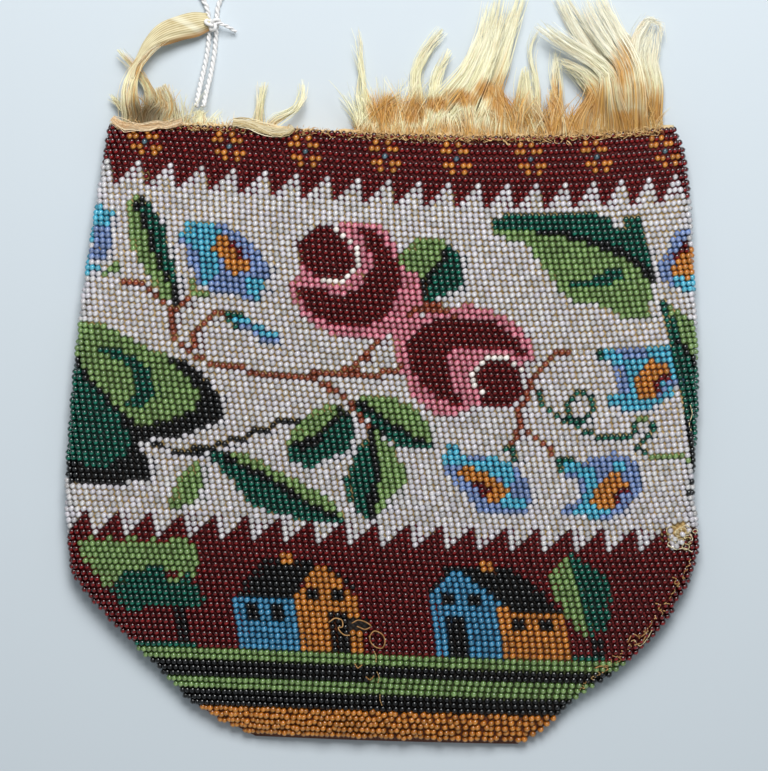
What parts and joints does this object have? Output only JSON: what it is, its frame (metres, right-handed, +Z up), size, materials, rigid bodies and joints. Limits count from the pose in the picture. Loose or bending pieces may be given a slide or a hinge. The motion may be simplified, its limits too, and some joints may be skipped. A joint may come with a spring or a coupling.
{
  "type": "bead-knitted reticule",
  "caption": "Flat bead-knitted bag lying on its back, with a silk lining, an open mouth, a torn silk heading above it and a tied string.",
  "frame": {"origin": "on the underside, where the middle of the bag's back lies on the table", "axes": "+Z up off the table towards the front of the bag, +Y from the base to the mouth, +X to the right as the front is seen"},
  "size_m": [0.1751, 0.2131, 0.0115],
  "materials": {
    "seed_beads": "opaque and clear glass seed beads, glossy, in pearl, garnet, green, blue, ochre and black",
    "lining_silk": "thin cream silk, yellowed with age",
    "heading_silk": "shattered cream silk with golden stains",
    "knit_silk": "knitting silk, tan, seen between the beads",
    "white_string": "white twisted cotton string"
  },
  "bodies": {
    "root": {"beaded_body": "seed_beads", "silk_lining": "lining_silk", "silk_heading": "heading_silk", "tie_string": "white_string", "tie_knot": "white_string"}
  },
  "joints": []
}
